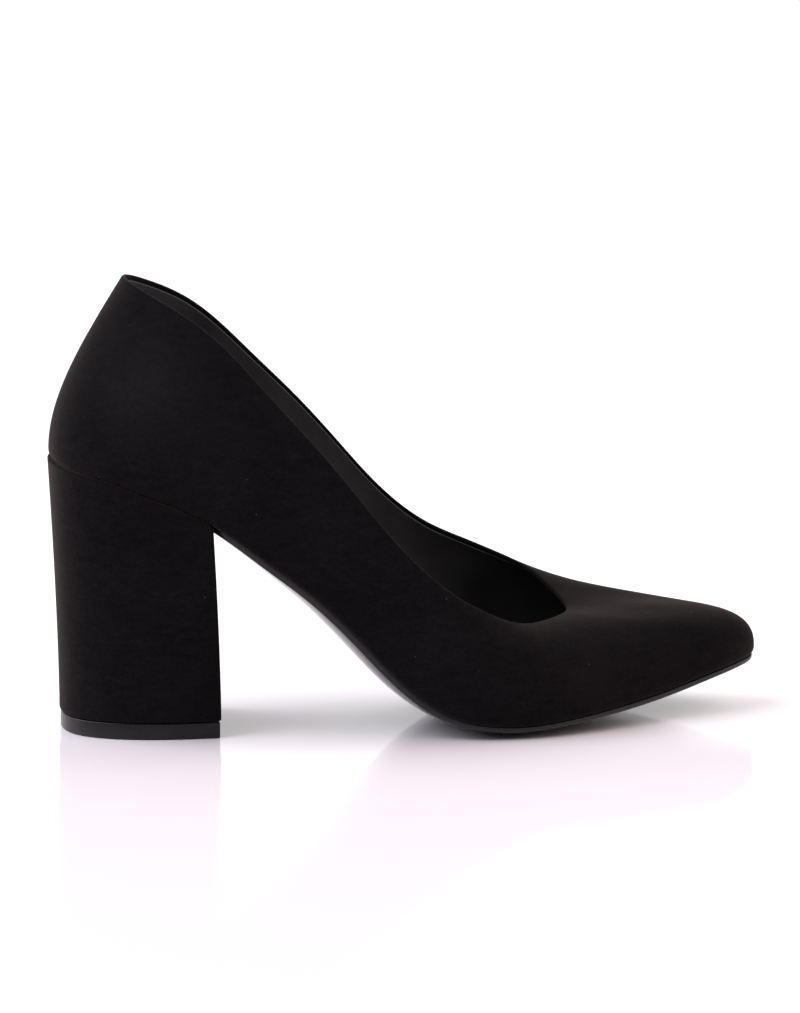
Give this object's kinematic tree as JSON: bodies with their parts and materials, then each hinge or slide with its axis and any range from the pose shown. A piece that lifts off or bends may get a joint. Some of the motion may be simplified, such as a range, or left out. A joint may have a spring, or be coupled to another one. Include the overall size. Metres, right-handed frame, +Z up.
{
  "type": "block heel pump",
  "caption": "Right pump in black suede with a pointed toe, low-cut throat, high covered block heel and thin lacquered sole.",
  "frame": {"origin": "on the floor, under the middle of the shoe's box", "axes": "+X from heel to toe, +Y towards the inner side of this right shoe, +Z up from the floor"},
  "size_m": [0.2296, 0.0772, 0.1468],
  "materials": {
    "suede": "matte black faux suede with a faint warm nap",
    "lining": "smooth black sock and lining",
    "lacquered_sole": "high gloss black lacquer",
    "heel_suede": "matte black faux suede drawn over a hard block",
    "heel_rubber": "smooth satin charcoal rubber"
  },
  "bodies": {
    "root": {"upper": "suede", "insole": "lining", "outsole": "lacquered_sole", "heel": "heel_suede", "top_piece": "heel_rubber"}
  },
  "joints": []
}
